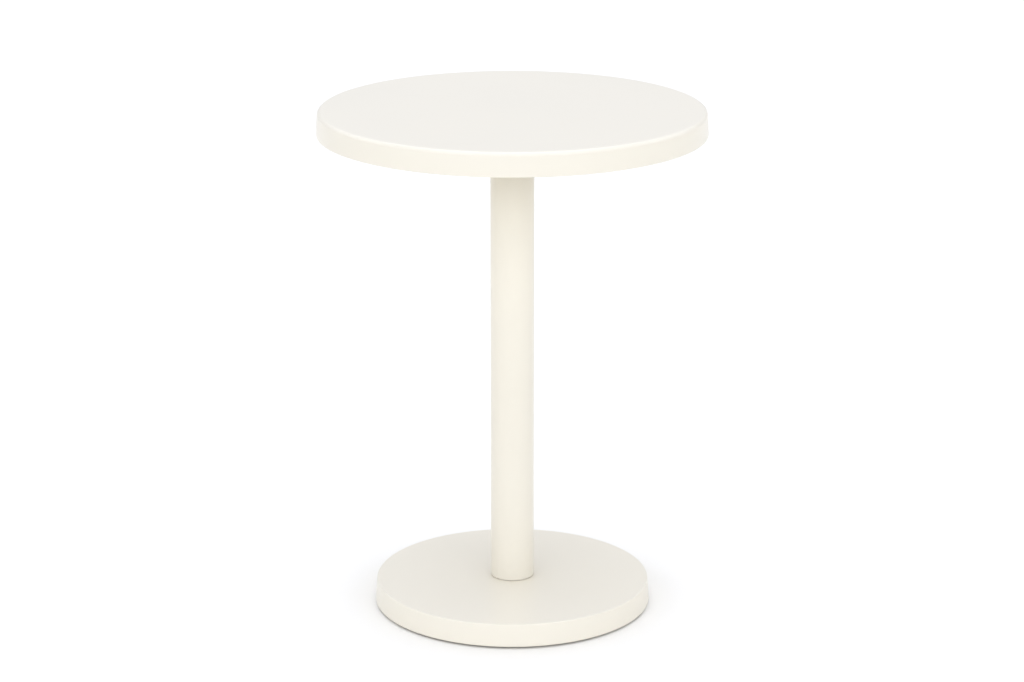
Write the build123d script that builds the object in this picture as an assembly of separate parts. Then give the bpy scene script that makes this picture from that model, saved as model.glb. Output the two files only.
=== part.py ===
from build123d import *

import os
from math import cos, radians, tan

# Round pedestal bistro table: a pressed steel top on a tubular column, drawn together by one tie rod
# onto a ribbed cast-iron base that stands on four screw-adjustable glides.
# Millimetres, +Z up, origin on the floor under the middle of the base.

# ---- overall
table_height = 744.0  # floor to tabletop, with the glides screwed fully in
floor_gap = 3.0  # floor to the lower edge of the base, glides fully in

# ---- pressed steel top
top_diameter = 560.0  # across the lower edge of the skirt
top_depth = 34.0  # height of the skirt
top_draft = 1.6  # how far the skirt leans in, on the radius, on its way up
top_sheet = 2.0  # sheet thickness
top_corner_radius = 6.0  # outside of the pressed corner
top_lip_radius = 0.9  # rounding on each side of the skirt's cut edge

# ---- stiffener bars, spot-welded under the top
bar_count = 4
bar_sheet = 1.5
bar_web_width = 32.0  # outside of the channel
bar_flange_width = 12.0  # each welded flange
bar_depth = 18.0  # underside of the top down to the underside of the web
bar_bend_radius = 1.5  # inside of each bend
bar_corner_gap = 12.0  # side of one bar to the inner end of the next
bar_rim_gap = 20.0  # outer end of each bar to the inside of the skirt

# ---- mounting plate and its screws
plate_thickness = 5.0
plate_edge_chamfer = 1.0
screw_end_margin = 18.0  # inner end of a bar to its first screw
screw_pitch = 28.0  # first screw of a bar to its second
screw_edge_margin = 14.0  # second screw to the edge of the plate
screw_diameter = 6.0
screw_length = 12.0  # under the head
screw_hole_clearance = 0.3  # on the radius
screw_head_radius = 5.6
screw_head_height = 3.4
screw_head_flat = 2.8  # radius of the flat round the socket
screw_head_bulge = 0.5  # how far the head's side bows out of a straight cone, each way
screw_socket_flats = 4.0
screw_socket_depth = 2.2
weld_nut_flats = 13.0
weld_nut_height = 5.0
thread_clearance = 0.05  # on the radius, between every thread and its nut or tapped hole

# ---- column
column_diameter = 63.5
column_wall = 3.0
column_foot_radius = 1.5  # outside edge of the tube's lower end
column_head_chamfer = 0.5
foot_washer_thickness = 0.8
foot_washer_inset = 0.2  # washer's outer edge to the edge of the flat on the tube's end
spigot_clearance = 0.1  # on the radius, inside the tube
disc_thickness = 10.0  # turned disc under the plate that centres the tube's upper end
disc_chamfer = 1.5

# ---- tie rod, with its nuts and washers
rod_diameter = 12.0
rod_hole_clearance = 0.5  # on the radius
rod_end_chamfer = 1.2
rod_standout = 2.5  # rod past each nut
rod_end_recess = 3.0  # lower edge of the base up to the rod's lower end
rod_nut_flats = 18.0
rod_nut_height = 10.0
rod_washer_radius = 12.0
rod_washer_thickness = 2.5
base_washer_radius = 18.0
base_washer_thickness = 3.0
spring_washer_width = 4.0
spring_washer_thickness = 2.5
spring_washer_slit = 1.6
spring_washer_slant = 20.0  # degrees

# ---- cast-iron base
base_diameter = 407.0  # across the lower edge
base_depth = 33.7  # lower edge to the edge of the top face
base_draft = 2.7  # how far the rim leans in, on the radius, on its way up
base_crown = 1.8  # rise of the top face from its edge to the column's seat
base_corner_radius = 1.5
base_lip_radius = 2.0
base_plate = 6.5  # thickness of the top face
base_rim = 6.5  # thickness of the rim
cast_fillet = 3.0
seat_margin = 2.5  # flat seat past the outside of the tube
spigot_height = 8.0
spigot_chamfer = 1.0
hub_margin = 6.0  # hub past the big washer
rib_count = 8
rib_thickness = 6.0
rib_setback = 1.0  # hub's machined face proud of the ribs
rib_edge_radius = 1.2
draft_angle = 2.0  # degrees, on ribs and bosses
cast_overlap = 1.5  # how far ribs and bosses run into the plate, rim and hub that they join

# ---- levelling glides
glide_count = 4
glide_rim_gap = 25.0  # glide axis to the inside of the rim's lower edge
glide_thread_diameter = 8.0
glide_hole_spare = 1.5  # tapped hole past the end of the stem
glide_cover = 3.8  # iron left between the tapped hole and the top face
boss_radius = 11.0
boss_edge_radius = 0.8
pad_radius = 16.0
pad_height = 7.0
pad_edge_radius = 1.5
pad_shoulder_radius = 10.0
pad_shoulder_height = 4.0
pad_floor = 2.0  # nylon under the stem's bead
bead_radius = 6.0
bead_height = 3.0
neck_radius = 4.2
glide_hex_flats = 13.0
glide_hex_height = 4.8
glide_play = 0.1  # between stem and pad, and between the stem's hexagon and the boss

hex_chamfer_angle = 30.0  # degrees, on nuts and hexagons
past = 1.0  # how far a cutting tool runs past the face that it cuts

# ---- radii that follow
column_radius = column_diameter / 2
column_bore = column_radius - column_wall
spigot_radius = column_bore - spigot_clearance
seat_radius = column_radius + seat_margin
rod_hole = rod_diameter / 2 + rod_hole_clearance
screw_hole = screw_diameter / 2 + screw_hole_clearance
hub_radius = base_washer_radius + hub_margin
base_edge = base_diameter / 2
base_top = base_edge - base_draft
glide_circle = base_edge - base_rim - glide_rim_gap
bar_inner_end = bar_web_width / 2 + bar_flange_width + bar_corner_gap
bar_outer_end = top_diameter / 2 - top_sheet - bar_rim_gap
first_screw = bar_inner_end + screw_end_margin
second_screw = first_screw + screw_pitch
plate_radius = second_screw + screw_edge_margin

# ---- heights that follow
z_sheet = table_height - top_sheet  # underside of the top's sheet
z_skirt = table_height - top_depth
z_web = z_sheet - bar_depth
z_plate = z_web - plate_thickness  # underside of the mounting plate
z_rod_nut = z_web + rod_washer_thickness
z_rod_top = z_rod_nut + rod_nut_height + rod_standout
z_base_rim_top = floor_gap + base_depth
z_seat = z_base_rim_top + base_crown
z_base_inside = z_seat - base_plate  # highest place on the underside of the base's top face
z_foot = z_seat + foot_washer_thickness
z_rod_bottom = floor_gap + rod_end_recess
z_base_nut = z_rod_bottom + rod_standout
z_spring_washer = z_base_nut + rod_nut_height
z_base_washer = z_spring_washer + spring_washer_thickness
z_hub = z_base_washer + base_washer_thickness
z_hexagon = pad_height + glide_play
z_boss = z_hexagon + glide_hex_height + glide_play


def nearest_corner(face, x, z):
    """The corner of a section that lies nearest to a place in its plane."""
    return min(face.vertices(), key=lambda v: (v.X - x) ** 2 + (v.Z - z) ** 2)


def section(points):
    """Closed face in the XZ plane from (radius, height) corners."""
    return make_face(Plane.XZ * Polyline(*points, close=True))


def rounded(face, corners):
    """A section with each named corner, (radius, height, fillet), rounded."""
    for x, z, size in corners:
        face = fillet(nearest_corner(face, x, z), size)
    return face


def bevelled(face, x, z, size):
    return chamfer(nearest_corner(face, x, z), size)


def turned(face):
    return revolve(face, Axis.Z, 360)


def box_points(inner, outer, low, high):
    return [(inner, low), (outer, low), (outer, high), (inner, high)]


def washer(outer, inner, z, thickness):
    return turned(section(box_points(inner, outer, z, z + thickness)))


def drill(radius, low, high):
    """Round cutting tool that runs past both faces."""
    return Pos(0, 0, low - past) * extrude(Circle(radius), high - low + 2 * past)


def around(count, start=0.0):
    """Evenly spaced angles in degrees."""
    return [start + i * 360.0 / count for i in range(count)]


def at(radius, angle):
    return Rot(0, 0, angle) * Pos(radius, 0, 0)


def hexagon_radius(flats):
    return flats / 2 / cos(radians(30))


def hexagon_bar(flats, z, height):
    """Hexagon whose ends are turned down to a cone, as on any nut."""
    corner = hexagon_radius(flats)
    drop = (corner - flats / 2) * tan(radians(hex_chamfer_angle))
    cone = section(
        [
            (0, z),
            (flats / 2, z),
            (corner, z + drop),
            (corner, z + height - drop),
            (flats / 2, z + height),
            (0, z + height),
        ]
    )
    return Pos(0, 0, z) * extrude(RegularPolygon(corner, 6), height) & turned(cone)


def nut(flats, thread, z, height):
    return hexagon_bar(flats, z, height) - drill(thread / 2 + thread_clearance, z, z + height)


# ---- top
def tray(edge, high, corner):
    """Half section of a solid tray: drafted wall and one rounded top corner."""
    face = section([(0, z_skirt), (edge, z_skirt), (edge - top_draft, high), (0, high)])
    return rounded(face, [(edge - top_draft, high, corner)])


def top_shell():
    edge = top_diameter / 2
    inner = edge - top_sheet
    shell = tray(edge, table_height, top_corner_radius) - tray(inner, z_sheet, top_corner_radius - top_sheet)
    return turned(rounded(shell, [(edge, z_skirt, top_lip_radius), (inner, z_skirt, top_lip_radius)]))


def bar_section():
    """Top-hat section in the XZ plane: web below, a flange on each side above."""
    half = bar_web_width / 2
    inner = half - bar_sheet
    wing = half + bar_flange_width
    z_flange = z_sheet - bar_sheet
    z_floor = z_web + bar_sheet
    right = [
        (inner, z_floor),
        (inner, z_sheet),
        (wing, z_sheet),
        (wing, z_flange),
        (half, z_flange),
        (half, z_web),
    ]
    left = [(-x, z) for x, z in reversed(right)]
    outer_bend = bar_bend_radius + bar_sheet
    bends = []
    for side in (1, -1):
        bends += [
            (side * inner, z_sheet, outer_bend),
            (side * half, z_flange, bar_bend_radius),
            (side * half, z_web, outer_bend),
            (side * inner, z_floor, bar_bend_radius),
        ]
    return rounded(section(right + left), bends)


def stiffener_bar(angle):
    bar = extrude(bar_section(), bar_outer_end - bar_inner_end, dir=(0, -1, 0))
    bar = Rot(0, 0, 90) * Pos(0, -bar_inner_end, 0) * bar
    for radius in (first_screw, second_screw):
        bar -= Pos(radius, 0, 0) * drill(screw_hole, z_web, z_web + bar_sheet)
    return Rot(0, 0, angle) * bar


def screw_places():
    return [at(radius, angle) for angle in around(bar_count) for radius in (first_screw, second_screw)]


def weld_nuts():
    one = nut(weld_nut_flats, screw_diameter, z_web + bar_sheet, weld_nut_height)
    return Compound(children=[place * one for place in screw_places()])


def mounting_plate():
    blank = section(box_points(rod_hole, plate_radius, z_plate, z_web))
    for z in (z_plate, z_web):
        blank = bevelled(blank, plate_radius, z, plate_edge_chamfer)
    plate = turned(blank)
    for place in screw_places():
        plate -= place * drill(screw_hole, z_plate, z_web)
    return plate


def plate_screw():
    """Button-head socket screw, head down."""
    top = z_plate - screw_head_height
    side = (screw_head_radius + screw_head_flat) / 2 + screw_head_bulge
    bulge = (side, z_plate - screw_head_height / 2 - screw_head_bulge)
    outline = Polyline((screw_head_flat, top), (0, top), (0, z_plate), (screw_head_radius, z_plate))
    outline += ThreePointArc((screw_head_radius, z_plate), bulge, (screw_head_flat, top))
    head = turned(make_face(Plane.XZ * outline))
    shank = section(box_points(0, screw_diameter / 2, z_plate - past, z_plate + screw_length))
    shank = turned(bevelled(shank, screw_diameter / 2, z_plate + screw_length, screw_diameter / 10))
    socket = extrude(RegularPolygon(hexagon_radius(screw_socket_flats), 6), screw_socket_depth)
    return head + shank - Pos(0, 0, top) * socket


def plate_screws():
    one = plate_screw()
    return Compound(children=[place * one for place in screw_places()])


# ---- column and tie rod
def column_tube():
    wall = section(box_points(column_bore, column_radius, z_foot, z_plate))
    wall = rounded(wall, [(column_radius, z_foot, column_foot_radius)])
    return turned(bevelled(wall, column_radius, z_plate, column_head_chamfer))


def centring_disc():
    low = z_plate - disc_thickness
    disc = section(box_points(rod_hole, spigot_radius, low, z_plate))
    return turned(bevelled(disc, spigot_radius, low, disc_chamfer))


def foot_washer():
    outer = column_radius - column_foot_radius - foot_washer_inset
    return washer(outer, column_bore, z_seat, foot_washer_thickness)


def tie_rod():
    rod = section(box_points(0, rod_diameter / 2, z_rod_bottom, z_rod_top))
    for z in (z_rod_bottom, z_rod_top):
        rod = bevelled(rod, rod_diameter / 2, z, rod_end_chamfer)
    return turned(rod)


def spring_washer():
    """Split washer with one slanted slit."""
    middle = rod_hole + spring_washer_width / 2
    slit = Box(spring_washer_width + 2 * past, spring_washer_slit, spring_washer_thickness + 2 * past)
    place = Pos(middle, 0, z_spring_washer + spring_washer_thickness / 2) * Rot(spring_washer_slant, 0, 0)
    ring = washer(rod_hole + spring_washer_width, rod_hole, z_spring_washer, spring_washer_thickness)
    return ring - place * slit


# ---- base
def crown_height(radius):
    """The top face falls with the square of the radius, from the column's seat to its edge."""
    return z_base_rim_top + base_crown * (base_top**2 - radius**2) / (base_top**2 - seat_radius**2)


def crown_arc(start, end, drop):
    """Arc along the crowned face between two radii, or along its underside, one plate thickness down."""
    return ThreePointArc(*[(r, crown_height(r) - drop) for r in (start, (start + end) / 2, end)])


def base_section():
    """Half section of the casting without ribs and bosses, from the hub's bore out to the rim."""
    inner_edge = base_edge - base_rim
    inner_top = base_top - base_rim
    z_spigot = z_seat + spigot_height
    z_hub_root = crown_height(hub_radius) - base_plate
    z_rim_root = crown_height(inner_top) - base_plate
    hub_step = z_hub_root - z_hub
    hub = [
        (seat_radius, z_seat),
        (spigot_radius, z_seat),
        (spigot_radius, z_spigot),
        (rod_hole, z_spigot),
        (rod_hole, z_hub),
        (hub_radius, z_hub),
        (hub_radius, z_hub_root),
    ]
    rim = [
        (inner_top, z_rim_root),
        (inner_edge, floor_gap),
        (base_edge, floor_gap),
        (base_top, z_base_rim_top),
    ]
    outline = Polyline(*hub) + crown_arc(hub_radius, inner_top, base_plate)
    outline += Polyline(*rim) + crown_arc(base_top, seat_radius, 0)
    rounds = [
        (hub_radius, z_hub_root, min(cast_fillet, hub_step / 2)),
        (inner_top, z_rim_root, cast_fillet),
        (inner_edge, floor_gap, base_lip_radius),
        (base_edge, floor_gap, base_lip_radius),
        (base_top, z_base_rim_top, base_corner_radius),
        (hub_radius, z_hub, min(base_corner_radius, hub_step / 3)),
    ]
    face = rounded(make_face(Plane.XZ * outline), rounds)
    return bevelled(face, spigot_radius, z_spigot, spigot_chamfer)


def hanging(outline, low, edge_radius):
    """Rib or boss hung from inside the top face down to a height, drafted and rounded below."""
    z_joined = z_base_inside + cast_overlap
    body = extrude(Pos(0, 0, z_joined) * outline, low - z_joined, taper=draft_angle)
    return fillet(body.edges().group_by(Axis.Z)[0], edge_radius)


def base_ribs():
    start = hub_radius - cast_overlap
    end = base_edge - base_rim + cast_overlap
    outline = Pos((start + end) / 2, 0, 0) * Rectangle(end - start, rib_thickness)
    rib = hanging(outline, z_hub + rib_setback, rib_edge_radius)
    return [Rot(0, 0, angle) * rib for angle in around(rib_count)]


def glide_places():
    return [at(glide_circle, angle) for angle in around(glide_count, 180.0 / glide_count)]


z_tapped_end = crown_height(glide_circle) - glide_cover
z_stem_tip = z_tapped_end - glide_hole_spare


def base_casting():
    boss = hanging(Circle(boss_radius), z_boss, boss_edge_radius)
    tapped = extrude(Circle(glide_thread_diameter / 2), z_tapped_end - z_boss + past)
    tapped = Pos(0, 0, z_boss - past) * tapped
    casting = turned(base_section())
    for rib in base_ribs():
        casting += rib
    for place in glide_places():
        casting += place * boss
    for place in glide_places():
        casting -= place * tapped
    return casting


# ---- glides
def glide_pad():
    """Nylon foot with an undercut socket that snaps over the stem's bead."""
    z_socket = pad_floor + bead_height + glide_play
    face = section(
        [
            (0, 0),
            (pad_radius, 0),
            (pad_radius, pad_shoulder_height),
            (pad_shoulder_radius, pad_height),
            (neck_radius + glide_play, pad_height),
            (neck_radius + glide_play, z_socket),
            (bead_radius + glide_play, z_socket),
            (bead_radius + glide_play, pad_floor),
            (0, pad_floor),
        ]
    )
    rims = [(pad_radius, 0, pad_edge_radius), (pad_radius, pad_shoulder_height, pad_edge_radius)]
    return turned(rounded(face, rims))


def glide_stem():
    """Threaded stem with its spanner hexagon, neck and bead."""
    z_bead = pad_floor + glide_play / 2
    thread = glide_thread_diameter / 2 - thread_clearance
    spindle = section(
        [
            (0, z_bead),
            (bead_radius, z_bead),
            (bead_radius, z_bead + bead_height),
            (neck_radius, z_bead + bead_height),
            (neck_radius, z_hexagon),
            (thread, z_hexagon),
            (thread, z_stem_tip),
            (0, z_stem_tip),
        ]
    )
    spindle = turned(bevelled(spindle, thread, z_stem_tip, glide_thread_diameter / 10))
    return spindle + hexagon_bar(glide_hex_flats, z_hexagon, glide_hex_height)


# ---- every piece, by name
def all_pieces():
    pieces = {
        "top_shell": top_shell(),
        "weld_nuts": weld_nuts(),
        "mounting_plate": mounting_plate(),
        "plate_screws": plate_screws(),
        "column_tube": column_tube(),
        "centring_disc": centring_disc(),
        "foot_washer": foot_washer(),
        "tie_rod": tie_rod(),
        "rod_top_washer": washer(rod_washer_radius, rod_hole, z_web, rod_washer_thickness),
        "rod_top_nut": nut(rod_nut_flats, rod_diameter, z_rod_nut, rod_nut_height),
        "base_washer": washer(base_washer_radius, rod_hole, z_base_washer, base_washer_thickness),
        "spring_washer": spring_washer(),
        "rod_bottom_nut": nut(rod_nut_flats, rod_diameter, z_base_nut, rod_nut_height),
        "base_casting": base_casting(),
    }
    for number, angle in enumerate(around(bar_count), 1):
        pieces[f"stiffener_bar_{number}"] = stiffener_bar(angle)
    for number, place in enumerate(glide_places(), 1):
        pieces[f"glide_pad_{number}"] = place * glide_pad()
        pieces[f"glide_stem_{number}"] = place * glide_stem()
    return pieces


os.makedirs("parts", exist_ok=True)
for name, piece in all_pieces().items():
    export_step(piece, f"parts/{name}.step")
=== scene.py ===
import math
import bmesh
import bpy
import numpy as np
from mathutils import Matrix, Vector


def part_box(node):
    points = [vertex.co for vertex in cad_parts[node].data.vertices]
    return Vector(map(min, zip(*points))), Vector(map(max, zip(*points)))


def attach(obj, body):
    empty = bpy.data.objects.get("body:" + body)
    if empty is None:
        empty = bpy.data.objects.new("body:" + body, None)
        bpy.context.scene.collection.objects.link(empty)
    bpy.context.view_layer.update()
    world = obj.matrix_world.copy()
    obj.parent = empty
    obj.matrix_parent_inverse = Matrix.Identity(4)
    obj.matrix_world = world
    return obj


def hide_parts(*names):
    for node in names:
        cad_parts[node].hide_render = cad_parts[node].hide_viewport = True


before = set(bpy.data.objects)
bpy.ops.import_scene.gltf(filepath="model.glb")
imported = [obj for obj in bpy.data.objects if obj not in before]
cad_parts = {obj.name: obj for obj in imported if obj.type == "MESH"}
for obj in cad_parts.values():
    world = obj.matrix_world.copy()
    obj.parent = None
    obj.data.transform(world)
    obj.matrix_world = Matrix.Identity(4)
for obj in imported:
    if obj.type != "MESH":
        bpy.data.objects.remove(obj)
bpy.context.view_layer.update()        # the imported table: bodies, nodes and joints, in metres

mm = 0.001
perMetre = 1000.0          # turns a size in millimetres into a pattern's scale
fullTurn = 2 * math.pi
weldDistance = 0.002 * mm
print("frame loaded", len(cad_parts), "nodes")


def roundedPath(corners, arcSteps=8):
    # corners are (x, y, radius): each is cut back by radius / tan(half its angle) on both sides,
    # and the two cuts are joined by points at even angles on the circle between them
    points = []
    for k, (x, y, radius) in enumerate(corners):
        here = np.array([x, y])
        if radius == 0 or k in (0, len(corners) - 1):
            points.append(here)
            continue
        back = np.array(corners[k - 1][:2]) - here
        ahead = np.array(corners[k + 1][:2]) - here
        back, ahead = back / np.linalg.norm(back), ahead / np.linalg.norm(ahead)
        half = math.acos(np.clip(back @ ahead, -1, 1)) / 2
        middle = (back + ahead) / np.linalg.norm(back + ahead)
        centre = here + middle * radius / math.sin(half)
        start = here + back * radius / math.tan(half) - centre
        finish = here + ahead * radius / math.tan(half) - centre
        sweep = math.pi - 2 * half
        t = np.linspace(0, sweep, arcSteps + 1)[:, None]
        points.extend(centre + (np.sin(sweep - t) * start + np.sin(t) * finish) / math.sin(sweep))
    return np.array(points)


def anglesRound(around):
    # even steps of one full turn, the last one short of it
    return np.linspace(0, fullTurn, around, endpoint=False)


def wrap(rows, around, middle=(0, 0)):
    # a row is a radius and a height, each one number or one for every angle a,
    # and goes round an upright line: x = r cos a, y = r sin a, z = height
    a = anglesRound(around)
    r = np.array([np.broadcast_to(row[0], a.shape) for row in rows])
    z = np.array([np.broadcast_to(row[1], a.shape) for row in rows])
    return np.stack([middle[0] + r * np.cos(a), middle[1] + r * np.sin(a), z], axis=-1)


def turnedBy(points, angle):
    # the usual turn about the upright axis: x' = x cos - y sin, y' = x sin + y cos
    c, s = math.cos(angle), math.sin(angle)
    x, y, z = points[..., 0], points[..., 1], points[..., 2]
    return np.stack([c * x - s * y, s * x + c * y, z], axis=-1)


def gridFaces(rows, columns, closeRows, closeColumns, first):
    # four-sided faces between neighbouring rows and columns, wrapping round where asked;
    # point (i, j) has the number first + i * columns + j
    i = np.arange(rows if closeRows else rows - 1)[:, None]
    j = np.arange(columns if closeColumns else columns - 1)[None, :]
    up, on = (i + 1) % rows, (j + 1) % columns
    faces = np.stack([i * columns + j, i * columns + on, up * columns + on, up * columns + j], axis=-1)
    return first + faces.reshape(-1, 4)


def makePiece(name, grids, body, material, nodes, sharp=35):
    # grids are (points, closeRows, closeColumns); poles and seams are welded, then all faces turned out
    points, faces, count = [], [], 0
    for grid, closeRows, closeColumns in grids:
        rows, columns = grid.shape[:2]
        faces.append(gridFaces(rows, columns, closeRows, closeColumns, count))
        points.append(grid.reshape(-1, 3))
        count += rows * columns
    mesh = bpy.data.meshes.new(name)
    mesh.from_pydata(np.concatenate(points), [], np.concatenate(faces))
    work = bmesh.new()
    work.from_mesh(mesh)
    bmesh.ops.remove_doubles(work, verts=work.verts, dist=weldDistance)
    bmesh.ops.recalc_face_normals(work, faces=work.faces)
    work.to_mesh(mesh)
    work.free()
    mesh.polygons.foreach_set("use_smooth", np.ones(len(mesh.polygons), bool))
    mesh.set_sharp_from_angle(angle=math.radians(sharp))
    mesh.materials.append(material)
    piece = bpy.data.objects.new(name, mesh)
    bpy.context.scene.collection.objects.link(piece)
    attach(piece, body)
    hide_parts(*nodes)
    print(name, len(mesh.polygons), "faces")


def extent(node):
    # a round part's ends, half its width and its middle, from the box round it
    low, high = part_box(node)
    return {"low": low.z, "high": high.z, "radius": (high.x - low.x) / 2,
            "middle": ((low.x + high.x) / 2, (low.y + high.y) / 2)}


def hexagonRadius(flats, around, start=0.0):
    # half the flats over the cosine of the angle from the nearest flat's middle; a corner lies at start
    fromFlat = (anglesRound(around) - start) % (fullTurn / 6) - fullTurn / 12
    return flats / 2 / np.cos(fromFlat)


def hexagonRows(flats, low, high, around, start=0.0):
    # the 30 degree cone turned on each end meets a flat lower the further it is from the flat's middle:
    # drop = (radius of the hexagon - half the flats) * tan 30
    outside = hexagonRadius(flats, around, start)
    drop = (outside - flats / 2) * math.tan(math.radians(30))
    return [(flats / 2, low), (outside, low + drop), (outside, high - drop), (flats / 2, high)]


def nutGrid(flats, bore, low, high, middle=(0, 0), start=0.0, lead=0.6 * mm, around=72):
    # the hexagon's rows, closed through a bore with a lead-in cone at each end
    rows = [(bore, low + lead), (bore + lead, low)] + hexagonRows(flats, low, high, around, start)
    return wrap(rows + [(bore + lead, high), (bore, high - lead)], around, middle), True, True


def threadRows(crest, pitch, low, high, around, perTurn=12, depth=0.61, steep=1.3, cut=0.15):
    # right-hand screw: the radius falls from the crest by depth * pitch times a triangle wave of
    # height / pitch - angle / full turn, made steeper and cut flat at both tips
    heights = np.linspace(low, high, max(2, round((high - low) / pitch * perTurn)))
    phase = (heights[:, None] / pitch - anglesRound(around) / fullTurn) % 1
    wave = np.clip(steep * np.abs(2 * phase - 1) - cut, 0, 1)
    return [(crest - depth * pitch * w, h) for w, h in zip(wave, heights)]


def pointed(rows, z, radius):
    # rows near an end are held inside a 45 degree cone: radius at z, plus the distance from it
    return [(np.minimum(r, radius + abs(h - z)), h) for r, h in rows]


def ringGrid(hole, ring, rounds, around):
    # a flat ring's section, from half way up the hole, down, out and back, with its two outer corners
    # rounded, the lower one first; it is closed on itself and spun
    low, high = ring["low"], ring["high"]
    start = (hole, (low + high) / 2, 0)
    section = roundedPath([start, (hole, low, 0), (ring["radius"], low, rounds[0]),
                           (ring["radius"], high, rounds[1]), (hole, high, 0), start])
    return wrap(section[:-1], around), True, True


def newGroup(name, inputs, outputs):
    # a shader node group of plain numbers; returns it with its inputs and outputs as seen from inside
    group = bpy.data.node_groups.new(name, "ShaderNodeTree")
    for socket, value in inputs:
        made = group.interface.new_socket(name=socket, in_out="INPUT", socket_type="NodeSocketFloat")
        made.default_value = value
    for socket in outputs:
        group.interface.new_socket(name=socket, in_out="OUTPUT", socket_type="NodeSocketFloat")
    return group, group.nodes.new("NodeGroupInput").outputs, group.nodes.new("NodeGroupOutput").inputs


def addNode(tree, kind, **settings):
    # each setting goes to the socket of that name, or else to the node itself
    node = tree.nodes.new(kind)
    for key, value in settings.items():
        if key in node.inputs:
            node.inputs[key].default_value = value
        else:
            setattr(node, key, value)
    return node


def feed(tree, value, socket):
    # a number is set on the socket, and another node's output is linked to it
    if isinstance(value, (int, float)):
        socket.default_value = value
    else:
        tree.links.new(value, socket)


def maths(tree, operation, *values):
    # one sum, product or the like of numbers and other nodes' outputs
    node = tree.nodes.new("ShaderNodeMath")
    node.operation = operation
    for socket, value in zip(node.inputs, values):
        feed(tree, value, socket)
    return node.outputs[0]


def noiseAt(tree, place, scale, detail, roughness):
    # soft noise from 0 to 1, with scale patches to the metre and detail finer layers on it
    noise = addNode(tree, "ShaderNodeTexNoise", Detail=detail, Roughness=roughness)
    tree.links.new(place, noise.inputs["Vector"])
    feed(tree, scale, noise.inputs["Scale"])
    return noise.outputs["Fac"]


powderSettings = {"grainScale": 2600.0, "sandScale": 420.0, "sandDepth": 9.0, "pitScale": 230.0,
                  "pitWidth": 0.28, "pitDepth": 8.0, "driftScale": 7.0}


def powderTexture(s):
    # a baked powder coat: a soft peel a millimetre or two across and finer grains on it; where Cast is 1
    # the sand-cast skin shows through, pitted and about ten times as deep; mottle and gloss drift slowly.
    # height = peel + Grain * grain + Cast * (depth * sand + depth * the smaller of pit distance and width)
    group, given, made = newGroup(
        "powderTexture", [("Peel Size", 1.6), ("Grain", 0.3), ("Cast", 0.0), ("Drift", 0.1)],
        ["Height", "Mottle", "Gloss Drift"])
    place = addNode(group, "ShaderNodeTexCoord").outputs["Object"]
    peelScale = maths(group, "DIVIDE", perMetre, given["Peel Size"])
    peel = noiseAt(group, place, peelScale, detail=1.0, roughness=0.4)
    grain = noiseAt(group, place, s["grainScale"], detail=2.0, roughness=0.6)
    grain = maths(group, "MULTIPLY", grain, given["Grain"])
    sand = noiseAt(group, place, s["sandScale"], detail=4.0, roughness=0.65)
    sand = maths(group, "MULTIPLY", sand, s["sandDepth"])
    pits = addNode(group, "ShaderNodeTexVoronoi", Scale=s["pitScale"])
    group.links.new(place, pits.inputs["Vector"])
    pitted = maths(group, "MINIMUM", pits.outputs["Distance"], s["pitWidth"])
    pitted = maths(group, "MULTIPLY", pitted, s["pitDepth"])
    skin = maths(group, "MULTIPLY", maths(group, "ADD", sand, pitted), given["Cast"])
    slow = noiseAt(group, place, s["driftScale"], detail=2.0, roughness=0.5)
    group.links.new(maths(group, "ADD", maths(group, "ADD", peel, grain), skin), made["Height"])
    group.links.new(slow, made["Mottle"])
    group.links.new(maths(group, "MULTIPLY", maths(group, "SUBTRACT", slow, 0.5), given["Drift"]),
                    made["Gloss Drift"])
    return group


def metalSurface():
    # plated or turned metal: fine lines, from noise whose y is shortened by Stretch, and slow clouds
    group, given, made = newGroup(
        "metalSurface", [("Line Size", 0.25), ("Stretch", 0.04), ("Cloud Size", 6.0)], ["Lines", "Clouds"])
    place = addNode(group, "ShaderNodeTexCoord").outputs["Object"]
    drawn = addNode(group, "ShaderNodeCombineXYZ")
    parts = addNode(group, "ShaderNodeSeparateXYZ")
    group.links.new(place, parts.inputs[0])
    group.links.new(parts.outputs[0], drawn.inputs[0])
    group.links.new(maths(group, "MULTIPLY", parts.outputs[1], given["Stretch"]), drawn.inputs[1])
    group.links.new(parts.outputs[2], drawn.inputs[2])
    lineScale = maths(group, "DIVIDE", perMetre, given["Line Size"])
    cloudScale = maths(group, "DIVIDE", perMetre, given["Cloud Size"])
    lines = noiseAt(group, drawn.outputs[0], lineScale, detail=3.0, roughness=0.6)
    clouds = noiseAt(group, place, cloudScale, detail=3.0, roughness=0.55)
    group.links.new(lines, made["Lines"])
    group.links.new(clouds, made["Clouds"])
    return group


def mouldTexture():
    # spark-eroded moulding: a fine even sand, with slow flow marks in its tone
    group, given, made = newGroup(
        "mouldTexture", [("Spark Size", 0.35), ("Flow Size", 9.0)], ["Height", "Flow"])
    place = addNode(group, "ShaderNodeTexCoord").outputs["Object"]
    sparkScale = maths(group, "DIVIDE", perMetre, given["Spark Size"])
    flowScale = maths(group, "DIVIDE", perMetre, given["Flow Size"])
    spark = noiseAt(group, place, sparkScale, detail=2.0, roughness=0.7)
    flow = noiseAt(group, place, flowScale, detail=2.0, roughness=0.5)
    group.links.new(spark, made["Height"])
    group.links.new(flow, made["Flow"])
    return group


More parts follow.
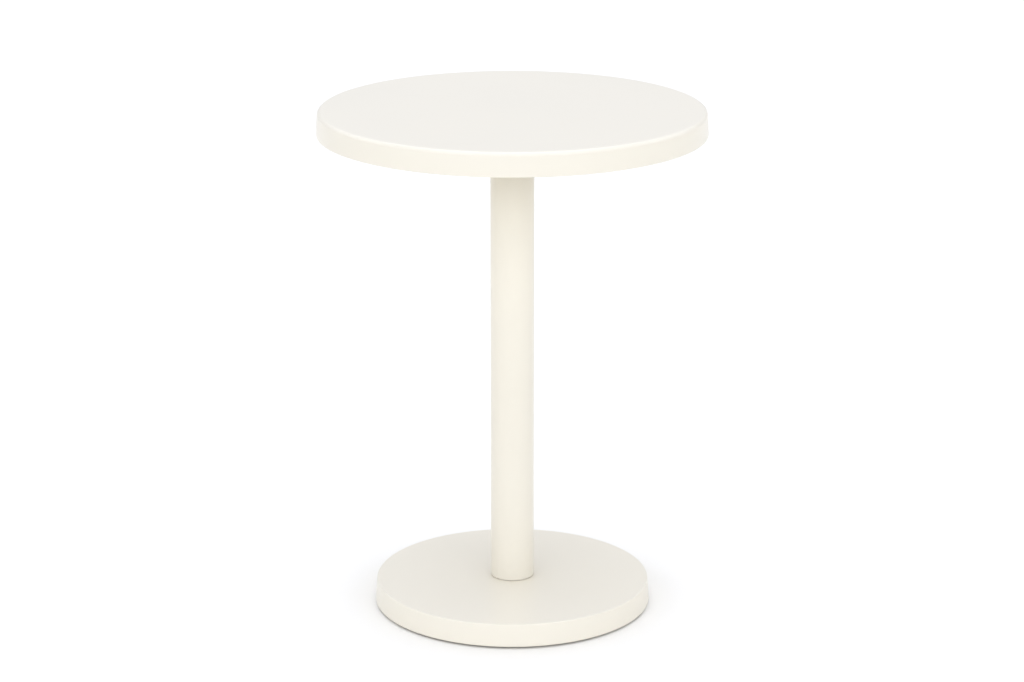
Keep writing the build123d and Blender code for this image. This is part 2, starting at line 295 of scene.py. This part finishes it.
def finish(name, group, settings, mix, height, values, roughnessFrom):
    # a shader whose colour runs from light to deep with the group's mask called mix, with a bump from its
    # height, and a roughness of its own plus a share of a mask: roughnessFrom is (mask, share)
    material = bpy.data.materials.new(name)
    material.use_nodes = True
    tree = material.node_tree
    shader = tree.nodes["Principled BSDF"]
    shader.inputs["Roughness"].default_value = values["roughness"]
    shader.inputs["Metallic"].default_value = values.get("metallic", 0.0)
    effect = addNode(tree, "ShaderNodeGroup", node_tree=group)
    for socket, value in settings.items():
        effect.inputs[socket].default_value = value
    tones = addNode(tree, "ShaderNodeMix", data_type="RGBA")
    colourA, colourB = [socket for socket in tones.inputs if socket.type == "RGBA"]
    colourA.default_value, colourB.default_value = (*values["light"], 1), (*values["deep"], 1)
    tree.links.new(effect.outputs[mix], tones.inputs["Factor"])
    tree.links.new(next(o for o in tones.outputs if o.type == "RGBA"), shader.inputs["Base Color"])
    mask, share = roughnessFrom
    tree.links.new(maths(tree, "MULTIPLY_ADD", effect.outputs[mask], share, values["roughness"]),
                   shader.inputs["Roughness"])
    bump = addNode(tree, "ShaderNodeBump", Strength=1.0, Distance=values["bump"])
    tree.links.new(effect.outputs[height], bump.inputs["Height"])
    tree.links.new(bump.outputs["Normal"], shader.inputs["Normal"])
    return material


powderGroup, metalGroup, mouldGroup = powderTexture(powderSettings), metalSurface(), mouldTexture()

ivory = {"light": (0.795, 0.747, 0.624), "deep": (0.785, 0.736, 0.612), "roughness": 0.30,
         "bump": 0.010 * mm}
zinc = {"light": (0.64, 0.65, 0.67), "deep": (0.50, 0.51, 0.54), "roughness": 0.26, "bump": 0.004 * mm,
        "metallic": 1.0}
bareSteel = {"light": (0.56, 0.55, 0.54), "deep": (0.47, 0.46, 0.45), "roughness": 0.22, "bump": 0.010 * mm,
             "metallic": 1.0}
whiteNylon = {"light": (0.66, 0.64, 0.58), "deep": (0.61, 0.585, 0.52), "roughness": 0.42,
              "bump": 0.006 * mm}
greyNylon = {"light": (0.105, 0.107, 0.112), "deep": (0.085, 0.087, 0.092), "roughness": 0.46,
             "bump": 0.012 * mm}
castFrom = -0.03            # the casting's skin begins where a face's outward z is below this

smoothCoat = finish("ivoryPowderCoat", powderGroup, {"Peel Size": 1.6, "Grain": 0.25},
                    "Mottle", "Height", ivory, ("Gloss Drift", 1.0))
castCoat = finish("ivoryCoatOnCasting", powderGroup, {"Peel Size": 1.8, "Grain": 0.3},
                  "Mottle", "Height", ivory, ("Gloss Drift", 1.0))
zincPlate = finish("brightZincPlate", metalGroup, {"Line Size": 0.3, "Stretch": 0.15, "Cloud Size": 5.0},
                   "Clouds", "Lines", zinc, ("Clouds", 0.16))
turnedSteel = finish("turnedSteel", metalGroup, {"Line Size": 0.2, "Stretch": 0.05, "Cloud Size": 12.0},
                     "Clouds", "Lines", bareSteel, ("Lines", 0.2))
washerNylon = finish("whiteNylon", mouldGroup, {"Spark Size": 0.4, "Flow Size": 12.0},
                     "Flow", "Height", whiteNylon, ("Flow", 0.08))
glideNylon = finish("greyNylon", mouldGroup, {"Spark Size": 0.45, "Flow Size": 7.0},
                    "Flow", "Height", greyNylon, ("Flow", 0.12))


def showSkin(material):
    # the casting's outside is filled and smooth, so its skin shows only on faces that look down
    tree = material.node_tree
    facing = addNode(tree, "ShaderNodeSeparateXYZ")
    tree.links.new(addNode(tree, "ShaderNodeTexCoord").outputs["Normal"], facing.inputs[0])
    effect = next(node for node in tree.nodes if node.type == "GROUP")
    tree.links.new(maths(tree, "LESS_THAN", facing.outputs[2], castFrom), effect.inputs["Cast"])


showSkin(castCoat)
print("materials made")


# pressed top: a closed section of sheet, spun about the table's axis
shell = extent("top_shell")
topSettings = {"lean": 1.6 * mm, "sheet": 2.0 * mm, "corner": 6.0 * mm, "lip": 0.9 * mm,
               "rings": 12, "arcSteps": 12, "around": 512}


def makeTop(s):
    # outside and inside are the same path, one sheet apart: flat, arc, leaning skirt, rounded lip
    z, zLip, edge = shell["high"], shell["low"], shell["radius"]
    crown = edge - s["lean"]
    radii = np.linspace(0, crown - 2 * s["corner"], s["rings"])
    section = roundedPath(
        [(r, z, 0) for r in radii]
        + [(crown, z, s["corner"]), (edge, zLip, s["lip"]), (edge - s["sheet"], zLip, s["lip"])]
        + [(crown - s["sheet"], z - s["sheet"], s["corner"] - s["sheet"])]
        + [(r, z - s["sheet"], 0) for r in radii[::-1]],
        s["arcSteps"],
    )
    grid = wrap(section, s["around"])
    makePiece("pressed_top", [(grid, False, True)], "table", smoothCoat, ["top_shell"])


makeTop(topSettings)

# stiffener bars: a top-hat section carried along each bar, with the marks of the spot welds on its flanges
barSettings = {"sheet": 1.5 * mm, "web": 32 * mm, "flange": 12 * mm, "bend": 1.5 * mm, "pitch": 26 * mm,
               "markRadius": 3.4 * mm, "markDepth": 0.35 * mm, "step": 1.1 * mm, "flangeSteps": 11,
               "arcSteps": 6, "tolerance": 0.01 * mm}


def makeBars(s):
    # every cross-section is one closed loop in y and z, and x runs along the bar
    low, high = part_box("stiffener_bar_1")
    wing, half, thick = s["web"] / 2 + s["flange"], s["web"] / 2, s["sheet"]
    outBend = s["bend"] + thick
    flat = np.linspace(wing, half + 2 * s["bend"], s["flangeSteps"])

    def side(drop, web, inner, outer):
        # half the hat, from the flange's edge to the middle of the web, at one face of the sheet
        return ([(y, high.z - drop, 0) for y in flat] + [(web, high.z - drop, inner)]
                + [(web, low.z + thick - drop, outer), (0, low.z + thick - drop, 0)])

    inside = roundedPath(side(0, half - thick, outBend, s["bend"]), s["arcSteps"])
    outside = roundedPath(side(thick, half, s["bend"], outBend), s["arcSteps"])
    inside = np.concatenate([inside, (inside * [-1, 1])[-2::-1]])
    outside = np.concatenate([outside, (outside * [-1, 1])[-2::-1]])
    loop = np.concatenate([outside, inside[::-1]])
    middle = (outside + inside) / 2
    spine = np.concatenate([middle, middle[::-1]])
    along = np.linspace(low.x, high.x, round((high.x - low.x) / s["step"]))
    # the two end rows shut the section: they lie on the line half way through the sheet
    lines = [spine] + [loop] * len(along) + [spine]
    x = np.concatenate([[low.x], along, [high.x]])[:, None]
    y = np.array([line[:, 0] for line in lines])
    z = np.array([line[:, 1] for line in lines])
    # each weld leaves a dish, deepest at its middle: depth * (1 - (distance / radius) squared)
    count = int((high.x - low.x) / s["pitch"])
    welds = low.x + (high.x - low.x - (count - 1) * s["pitch"]) / 2 + s["pitch"] * np.arange(count)
    fromWeld = np.abs(x - welds[None, :]).min(axis=1)[:, None]
    far = np.hypot(fromWeld, np.abs(y) - (wing + half) / 2) / s["markRadius"]
    onFlange = (np.abs(z - (high.z - thick)) < s["tolerance"]) & (np.abs(y) > half)
    z = z + np.where(onFlange, s["markDepth"] * np.clip(1 - far**2, 0, 1), 0)
    bar = np.stack([x + 0 * y, y, z], axis=-1)
    for number in range(1, 5):
        grid = turnedBy(bar, (number - 1) * fullTurn / 4)
        makePiece(f"pressed_bar_{number}", [(grid, False, True)], "table", smoothCoat,
                  [f"stiffener_bar_{number}"])


makeBars(barSettings)

# mounting plate, screws and weld nuts
plateBox = extent("mounting_plate")
fixingSettings = {"rodHole": 6.5 * mm, "bevel": 1.0 * mm, "headRadius": 5.6 * mm, "headHeight": 3.4 * mm,
                  "headFlat": 2.8 * mm, "headBow": 0.62 * mm, "bowWay": (0.77, -0.64), "headSteps": 9,
                  "shank": 3.0 * mm, "length": 12 * mm, "tip": 0.5 * mm, "socket": 4.0 * mm,
                  "socketDepth": 2.2 * mm, "socketDish": 0.6 * mm, "socketEdge": 0.15 * mm,
                  "circles": (58 * mm, 86 * mm), "nutFlats": 13 * mm, "nutHeight": 5 * mm,
                  "clearance": 0.05 * mm, "around": 48, "plateAround": 256}


def screwGrid(s, middle, start):
    # a button head: a line from its edge to its flat, bowed outwards by the sine of half a turn, then
    # the hexagon socket's walls and its dished floor
    under, top = plateBox["low"], plateBox["low"] - s["headHeight"]
    t = np.linspace(0, 1, s["headSteps"])[:, None]
    bow = np.sin(np.pi * t) * s["headBow"]
    edge, flat = np.array([s["headRadius"], under]), np.array([s["headFlat"], top])
    dome = edge + t * (flat - edge) + bow * np.array(s["bowWay"])
    socket = hexagonRadius(s["socket"], s["around"], start)
    end, tip = under + s["length"], s["tip"]
    rows = [(0, end), (s["shank"] - tip, end), (s["shank"], end - tip), (s["shank"], under)]
    rows += list(dome) + [(socket + s["socketEdge"], top), (socket, top + s["socketEdge"])]
    rows += [(socket, top + s["socketDepth"]), (0, top + s["socketDepth"] + s["socketDish"])]
    return wrap(rows, s["around"], middle), False, True


def makeFixings(s):
    # two screws, on two circles, to each of the four bars, and a welded nut over each screw
    plate = ringGrid(s["rodHole"], plateBox, (s["bevel"], s["bevel"]), s["plateAround"])
    makePiece("round_plate", [plate], "table", smoothCoat, ["mounting_plate"])
    angles = [k * fullTurn / 4 for k in range(4)]
    places = [((r * math.cos(a), r * math.sin(a)), a) for a in angles for r in s["circles"]]
    makePiece("button_screws", [screwGrid(s, *place) for place in places], "table", zincPlate,
              ["plate_screws"])
    nutBase = extent("weld_nuts")["low"]
    nuts = [nutGrid(s["nutFlats"], s["shank"] + s["clearance"], nutBase, nutBase + s["nutHeight"], *place)
            for place in places]
    makePiece("welded_nuts", nuts, "table", zincPlate, ["weld_nuts"])


makeFixings(fixingSettings)

# column: tube with a rounded lower end, and the thin washer that it stands on
tube = extent("column_tube")
columnSettings = {"wall": 3.0 * mm, "footRound": 1.5 * mm, "headRound": 0.5 * mm,
                  "washerRound": 0.25 * mm, "rings": 24, "arcSteps": 10, "around": 192}


def makeColumn(s):
    # a rectangle of wall with its outer corners rounded, closed on itself and spun
    outer, inner = tube["radius"], tube["radius"] - s["wall"]
    low, high = tube["low"], tube["high"]
    start = (inner, (low + high) / 2, 0)
    heights = np.linspace(low, high, s["rings"])[1:-1]
    section = roundedPath(
        [start, (inner, low, 0), (outer, low, s["footRound"])]
        + [(outer, z, 0) for z in heights]
        + [(outer, high, s["headRound"]), (inner, high, 0), start],
        s["arcSteps"],
    )
    makePiece("column", [(wrap(section[:-1], s["around"]), True, True)], "table", smoothCoat,
              ["column_tube"])
    ring = ringGrid(inner, extent("foot_washer"), (s["washerRound"], s["washerRound"]), s["around"])
    makePiece("nylon_ring", [ring], "table", washerNylon, ["foot_washer"])


makeColumn(columnSettings)

# tie rod with its rolled threads, and its nuts and washers
rodBox = extent("tie_rod")
rodSettings = {"crest": 5.97 * mm, "pitch": 1.75 * mm, "threaded": 34 * mm, "tip": 4.8 * mm,
               "nutFlats": 18 * mm, "clearance": 0.05 * mm, "hole": 6.5 * mm, "washerRound": 0.5 * mm,
               "washerAround": 96, "springWidth": 4.0 * mm, "springBevel": 0.3 * mm, "slit": 1.6 * mm,
               "slant": 20, "springAround": 90, "around": 60}


def springGrid(s):
    # the ring stops at each side of a slanted slit, at the angle
    # (half the slit / cos slant -+ height * tan slant) / radius
    ring = extent("spring_washer")
    inner, middle = s["hole"], (ring["low"] + ring["high"]) / 2
    outer, bevel = inner + s["springWidth"], s["springBevel"]
    loop = roundedPath([(inner, middle, 0), (inner, ring["low"], bevel), (outer, ring["low"], bevel),
                        (outer, ring["high"], bevel), (inner, ring["high"], bevel), (inner, middle, 0)],
                       arcSteps=3)[:-1]
    centre, slant = (inner + outer) / 2, math.radians(s["slant"])
    t = np.linspace(0, 1, s["springAround"])[None, :]
    r, z = loop[:, :1] + 0 * t, loop[:, 1:] + 0 * t
    gap, lean = s["slit"] / 2 / math.cos(slant), (z - middle) * math.tan(slant)
    first, last = (gap - lean) / r, fullTurn - (gap + lean) / r
    a = first + t * (last - first)
    # one more column at each end lies on the section's centre, which shuts both ends
    one, ends = np.ones((len(loop), 1)), gap / centre
    r = np.concatenate([centre * one, r, centre * one], axis=1)
    z = np.concatenate([middle * one, z, middle * one], axis=1)
    a = np.concatenate([ends * one, a, (fullTurn - ends) * one], axis=1)
    return np.stack([r * np.cos(a), r * np.sin(a), z], axis=-1), True, False


def makeRod(s):
    # threads are rolled on both ends and one plain run joins them; then the nuts and washers on it
    low, high, end = rodBox["low"], rodBox["high"], s["threaded"]
    rows = pointed(threadRows(s["crest"], s["pitch"], low, low + end, s["around"]), low, s["tip"])
    rows += pointed(threadRows(s["crest"], s["pitch"], high - end, high, s["around"]), high, s["tip"])
    rows = [(0, low)] + rows + [(0, high)]
    makePiece("threaded_rod", [(wrap(rows, s["around"]), False, True)], "table", zincPlate,
              ["tie_rod"], sharp=60)
    for node, name in (("rod_bottom_nut", "lower_nut"), ("rod_top_nut", "upper_nut")):
        nut = extent(node)
        grid = nutGrid(s["nutFlats"], rodBox["radius"] + s["clearance"], nut["low"], nut["high"])
        makePiece(name, [grid], "table", zincPlate, [node])
    for node, name in (("base_washer", "large_washer"), ("rod_top_washer", "small_washer")):
        # a punched washer: its lower edge rolled over, its upper one left crisp
        rounds = (s["washerRound"], s["washerRound"] / 4)
        ring = ringGrid(s["hole"], extent(node), rounds, s["washerAround"])
        makePiece(name, [ring], "table", zincPlate, [node])
    makePiece("split_washer", [springGrid(s)], "table", zincPlate, ["spring_washer"])
    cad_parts["centring_disc"].data.materials[0] = turnedSteel     # carried over as it is


makeRod(rodSettings)

# base casting: crowned face, leaning rim and hub in one spun section, with ribs and glide bosses under it
casting = extent("base_casting")
padBoxes = [extent(f"glide_pad_{k}") for k in range(1, 5)]
seatHeight = extent("foot_washer")["low"]
hubFace = extent("base_washer")["high"]
baseSettings = {"lean": 2.7 * mm, "crown": 1.8 * mm, "corner": 1.5 * mm, "lip": 2.0 * mm,
                "plate": 6.5 * mm, "rim": 6.5 * mm, "fillet": 3.0 * mm, "seat": 34.25 * mm,
                "spigot": 28.65 * mm, "spigotBevel": 1.0 * mm, "hub": 24 * mm, "hubEdge": 1.5 * mm,
                "ribs": 8, "ribThick": 6.0 * mm, "ribEdge": 1.2 * mm, "ribSetBack": 1.0 * mm,
                "draft": 2.0, "boss": 11 * mm, "bossEdge": 0.8 * mm, "bossFoot": 12.0 * mm,
                "bossAround": 64, "thread": 4.0 * mm, "threadLead": 0.5 * mm,
                "bury": 1.0 * mm, "bendSteps": 7, "bossSteps": 6, "arcSteps": 10, "around": 384}
# where the rows lie: numbers of rings on the face and under it, how far they stop from the rounded edges,
# and the ribs' rows, closer together in the fillets at the hub and at the rim
baseRows = {"face": 26, "faceStop": 4 * mm, "under": 22, "rimStop": 6 * mm, "hubStop": 4.5 * mm,
            "rib": 22, "ribStop": 8 * mm, "ribStraight": 4,
            "nearHub": (-1.5, 0, 0.15, 0.4, 0.8, 1.3, 2.0, 3.0),
            "nearRim": (3.2, 2.2, 1.5, 0.9, 0.5, 0.2, 0, -0.6, -1.5)}


def crownHeight(s, r):
    # the face falls with the square of the radius, from the seat to the top of the rim
    top = casting["radius"] - s["lean"]
    return seatHeight - s["crown"] * (r**2 - s["seat"]**2) / (top**2 - s["seat"]**2)


def flare(s, distance):
    # a root fillet's width at a distance from the wall it meets:
    # R - sqrt(R squared - (R - distance) squared)
    short = np.clip(s["fillet"] - distance, 0, s["fillet"])
    return s["fillet"] - np.sqrt(s["fillet"]**2 - short**2)


def ribGrid(s, rows, angle):
    # rows go out along the rib and columns down one side, under its edge and up the other; the half
    # thickness is its own, less the draft, plus the fillets at the face above, at the hub and at the rim
    edge, wall = casting["radius"], casting["radius"] - s["rim"]
    low = hubFace + s["ribSetBack"]
    nearHub = s["hub"] + np.array(rows["nearHub"]) * mm
    nearRim = wall - np.array(rows["nearRim"]) * mm - s["lean"] / 2
    between = np.linspace(s["hub"] + rows["ribStop"], wall - rows["ribStop"], rows["rib"])
    u = np.concatenate([nearHub, between, nearRim])[:, None]
    roof = crownHeight(s, u) - s["plate"]
    bend = np.linspace(0, math.pi / 2, s["bendSteps"])
    rise = np.concatenate([[-s["bury"]], s["fillet"] * (1 - np.cos(bend))])
    straight = np.linspace(0, 1, rows["ribStraight"])[1:-1]
    down = roof - low
    depths = np.concatenate([
        rise + 0 * down,
        s["fillet"] + straight * (down - s["ribEdge"] - s["fillet"]),
        down - s["ribEdge"] * (1 - np.sin(bend)),
    ], axis=1)
    inset = np.concatenate([0 * rise, 0 * straight, s["ribEdge"] * (1 - np.cos(bend))])
    z = roof - depths
    drafted = s["ribThick"] / 2 - np.clip(depths, 0, None) * math.tan(math.radians(s["draft"]))
    wallHere = wall - s["lean"] * (z - casting["low"]) / (crownHeight(s, edge) - casting["low"])
    half = drafted - inset + flare(s, depths) + flare(s, u - s["hub"]) + flare(s, wallHere - u)
    y = np.concatenate([half, -half[:, ::-1]], axis=1)
    z = np.concatenate([z, z[:, ::-1]], axis=1)
    # both end rows are repeated on the rib's middle plane, inside the hub and the rim
    u, y = np.concatenate([u[:1], u, u[-1:]]), np.concatenate([0 * y[:1], y, 0 * y[-1:]])
    z = np.concatenate([z[:1], z, z[-1:]])
    return turnedBy(np.stack([u + 0 * y, y, z], axis=-1), angle), False, True


def bossGrid(s, middle):
    # a drafted boss with a tapped bore; its root fillet follows the underside of the crowned face, whose
    # height comes from the distance to the table's axis, by the law of cosines
    a = anglesRound(s["bossAround"])
    circle = math.hypot(*middle)
    aim = math.atan2(middle[1], middle[0])

    def roof(radius):
        fromAxis = np.sqrt(circle**2 + radius**2 + 2 * circle * radius * np.cos(a - aim))
        return crownHeight(s, fromAxis) - s["plate"]

    bend = np.linspace(0, math.pi / 2, s["bossSteps"])
    foot, top = s["bossFoot"], s["boss"]
    slim = top - (roof(0)[0] - foot) * math.tan(math.radians(s["draft"]))
    edge, fillet, bore = s["bossEdge"], s["fillet"], s["thread"]
    rows = [(bore, foot + s["threadLead"]), (bore + s["threadLead"], foot)]
    rows += [(slim - edge * (1 - math.sin(t)), foot + edge * (1 - math.cos(t))) for t in bend]
    rows += [(top + fillet * (1 - math.cos(t)), roof(top) - fillet * (1 - math.sin(t))) for t in bend]
    spread = top + fillet
    rows += [(spread, roof(spread) + s["bury"]), (bore, roof(bore) + s["bury"])]
    return wrap(rows, s["bossAround"], middle), True, True


def makeBase(s, rows):
    # the section goes up the rod's hole, over the spigot and the face, down the rim and back underneath
    edge, low = casting["radius"], casting["low"]
    top, wall = edge - s["lean"], edge - s["rim"]
    wallTop = top - s["rim"]
    hole = rodSettings["hole"]
    start = (hole, (hubFace + casting["high"]) / 2, 0)
    over = np.linspace(s["seat"], top - rows["faceStop"], rows["face"])
    under = np.linspace(wallTop - rows["rimStop"], s["hub"] + rows["hubStop"], rows["under"])
    section = roundedPath(
        [start, (hole, casting["high"], 0)]
        + [(s["spigot"], casting["high"], s["spigotBevel"]), (s["spigot"], seatHeight, 0)]
        + [(r, crownHeight(s, r), 0) for r in over]
        + [(top, crownHeight(s, top), s["corner"]), (edge, low, s["lip"]), (wall, low, s["lip"])]
        + [(wallTop, crownHeight(s, wallTop) - s["plate"], s["fillet"])]
        + [(r, crownHeight(s, r) - s["plate"], 0) for r in under]
        + [(s["hub"], crownHeight(s, s["hub"]) - s["plate"], s["fillet"])]
        + [(s["hub"], hubFace, s["hubEdge"]), (hole, hubFace, 0), start],
        s["arcSteps"],
    )
    grids = [(wrap(section[:-1], s["around"]), True, True)]
    grids += [ribGrid(s, rows, k * fullTurn / s["ribs"]) for k in range(s["ribs"])]
    grids += [bossGrid(s, pad["middle"]) for pad in padBoxes]
    makePiece("ribbed_base", grids, "table", castCoat, ["base_casting"], sharp=40)


makeBase(baseSettings, baseRows)

# levelling glides: a moulded foot and a threaded stem with its spanner hexagon and bead
glideSettings = {"radius": 16 * mm, "height": 7.0 * mm, "shoulder": 10 * mm, "shoulderHeight": 4.0 * mm,
                 "edge": 1.5 * mm, "mouth": 4.3 * mm, "socket": 6.1 * mm, "floor": 2.0 * mm,
                 "socketRoof": 5.1 * mm, "grooves": (5.5 * mm, 9.0 * mm, 12.5 * mm),
                 "grooveWidth": 1.2 * mm, "grooveDepth": 0.5 * mm, "shoulderRound": 0.7 * mm,
                 "mouthRound": 0.4 * mm,
                 "bead": 6.0 * mm, "beadHeight": 3.0 * mm, "beadRound": 0.5 * mm, "neck": 4.2 * mm,
                 "hexLow": 7.1 * mm, "hexHeight": 4.8 * mm, "flats": 13 * mm, "crest": 3.93 * mm,
                 "pitch": 1.25 * mm, "undercut": 0.75 * mm, "threadGap": 0.3 * mm, "tip": 3.15 * mm,
                 "arcSteps": 6, "around": 72}


def padGrid(s, middle):
    # one closed section: grooved sole, rounded rim, sloping shoulder, and the socket that holds the bead
    sole, width, depth = [], s["grooveWidth"], s["grooveDepth"]
    for r in s["grooves"]:
        sole += [(r - width / 2, 0, 0), (r - width / 4, depth, 0)]
        sole += [(r + width / 4, depth, 0), (r + width / 2, 0, 0)]
    section = roundedPath(
        [(0, 0, 0)] + sole
        + [(s["radius"], 0, s["edge"]), (s["radius"], s["shoulderHeight"], s["edge"])]
        + [(s["shoulder"], s["height"], s["shoulderRound"]), (s["mouth"], s["height"], s["mouthRound"])]
        + [(s["mouth"], s["socketRoof"], 0), (s["socket"], s["socketRoof"], 0)]
        + [(s["socket"], s["floor"], 0), (0, s["floor"], 0)],
        s["arcSteps"],
    )
    return wrap(section, s["around"], middle), False, True


def stemGrid(s, stem, middle, start):
    # bead, neck, hexagon and thread in one closed surface, from the bead's face up to the tip
    low, high, bead, edge = stem["low"], stem["high"], s["bead"], s["beadRound"]
    beadTop, hexTop = low + s["beadHeight"], s["hexLow"] + s["hexHeight"]
    rows = [(0, low), (bead - edge, low), (bead, low + edge), (bead, beadTop - edge)]
    rows += [(bead - edge, beadTop), (s["neck"], beadTop), (s["neck"], s["hexLow"])]
    rows += hexagonRows(s["flats"], s["hexLow"], hexTop, s["around"], start)
    rows += [(s["crest"] - s["undercut"], hexTop)]
    thread = threadRows(s["crest"], s["pitch"], hexTop + s["threadGap"], high, s["around"])
    rows += pointed(thread, high, s["tip"])
    return wrap(rows + [(0, high)], s["around"], middle), False, True


def makeGlides(s):
    # each hexagon has a corner outwards, away from the table's axis
    for number, pad in enumerate(padBoxes, 1):
        foot, screw, middle = f"glide_pad_{number}", f"glide_stem_{number}", pad["middle"]
        makePiece(f"glide_foot_{number}", [padGrid(s, middle)], foot, glideNylon, [foot])
        stem = stemGrid(s, extent(screw), middle, math.atan2(middle[1], middle[0]))
        makePiece(f"glide_screw_{number}", [stem], screw, zincPlate, [screw], sharp=60)


makeGlides(glideSettings)

# pale floor, and a room of soft light: each band starts at an elevation in degrees and has one strength
# per sector, ahead, beside and behind, split at the angles in sectors; like two large diffusers in front
studio = {"floorSize": 80.0, "floorColour": (0.88, 0.86, 0.80), "floorRoughness": 0.9,
          "lightColour": (0.968, 1.0, 1.108), "sectors": (50, 130), "blendRound": 8, "blendUp": 2,
          "bands": [(0, (0.25, 0.25, 0.58)), (12, (3.30, 1.28, 0.46)), (25, (1.95, 1.36, 1.0)),
                    (40, (0.36, 0.36, 1.42)), (60, (2.1, 2.1, 2.1))]}


def softStep(tree, value, low, high, height):
    # rises by height, as a smooth step, while value goes from low to high
    step = addNode(tree, "ShaderNodeMapRange", interpolation_type="SMOOTHSTEP")
    tree.links.new(value, step.inputs["Value"])
    step.inputs["From Min"].default_value, step.inputs["From Max"].default_value = low, high
    step.inputs["To Max"].default_value = height
    return step.outputs[0]


def roomLight(tree, s):
    # strength = the sum over bands of the band's share at this height times its strength this way round;
    # shares are soft steps of the sine of the elevation, strengths soft steps of the angle from ahead
    way = addNode(tree, "ShaderNodeSeparateXYZ")
    tree.links.new(addNode(tree, "ShaderNodeTexCoord").outputs["Generated"], way.inputs[0])
    x, y, z = way.outputs
    angle = maths(tree, "ARCTAN2", maths(tree, "ABSOLUTE", x), maths(tree, "MULTIPLY", y, -1.0))
    rises = [1.0]
    for start, _ in s["bands"][1:]:
        ends = [math.sin(math.radians(start + k * s["blendUp"])) for k in (-1, 1)]
        rises.append(softStep(tree, z, *ends, 1.0))
    total = 0.0
    for rise, nextRise, (_, strengths) in zip(rises, rises[1:] + [0.0], s["bands"]):
        light = strengths[0]
        for edge, before, after in zip(s["sectors"], strengths, strengths[1:]):
            ends = [math.radians(edge + k * s["blendRound"]) for k in (-1, 1)]
            light = maths(tree, "ADD", light, softStep(tree, angle, *ends, after - before))
        share = maths(tree, "SUBTRACT", rise, nextRise)
        total = maths(tree, "ADD", total, maths(tree, "MULTIPLY", light, share))
    return total


def makeStudio(s):
    # a matt square at height 0, and the room's light as the world's strength
    half = s["floorSize"] / 2
    corners = [(-half, -half, 0), (half, -half, 0), (half, half, 0), (-half, half, 0)]
    floorMesh = bpy.data.meshes.new("floor")
    floorMesh.from_pydata(corners, [], [(0, 1, 2, 3)])
    floor = bpy.data.objects.new("floor", floorMesh)
    bpy.context.scene.collection.objects.link(floor)
    paper = bpy.data.materials.new("floorPaper")
    paper.use_nodes = True
    shader = paper.node_tree.nodes["Principled BSDF"].inputs
    shader["Base Color"].default_value = (*s["floorColour"], 1)
    shader["Roughness"].default_value = s["floorRoughness"]
    floorMesh.materials.append(paper)
    world = bpy.data.worlds.new("surround")
    world.use_nodes = True
    tree = world.node_tree
    tree.links.new(roomLight(tree, s), tree.nodes["Background"].inputs["Strength"])
    tree.nodes["Background"].inputs["Color"].default_value = (*s["lightColour"], 1)
    bpy.context.scene.world = world
    bpy.context.scene.view_settings.view_transform = "Standard"


makeStudio(studio)

view = {"sensor": 36.0, "lens": 108.445, "back": 4.30516, "rise": 1.67068, "pitch": 16.4507,
        "side": -0.0005}


def makeCamera(v):
    # straight in front, back and up from the foot of the table's axis, and pitched down in degrees
    data = bpy.data.cameras.new("camera")
    data.sensor_width, data.lens = v["sensor"], v["lens"]
    camera = bpy.data.objects.new("camera", data)
    bpy.context.scene.collection.objects.link(camera)
    camera.location = (v["side"], -v["back"], v["rise"])
    camera.rotation_euler = (math.radians(90 - v["pitch"]), 0, 0)
    bpy.context.scene.camera = camera


makeCamera(view)
print("studio and camera made")
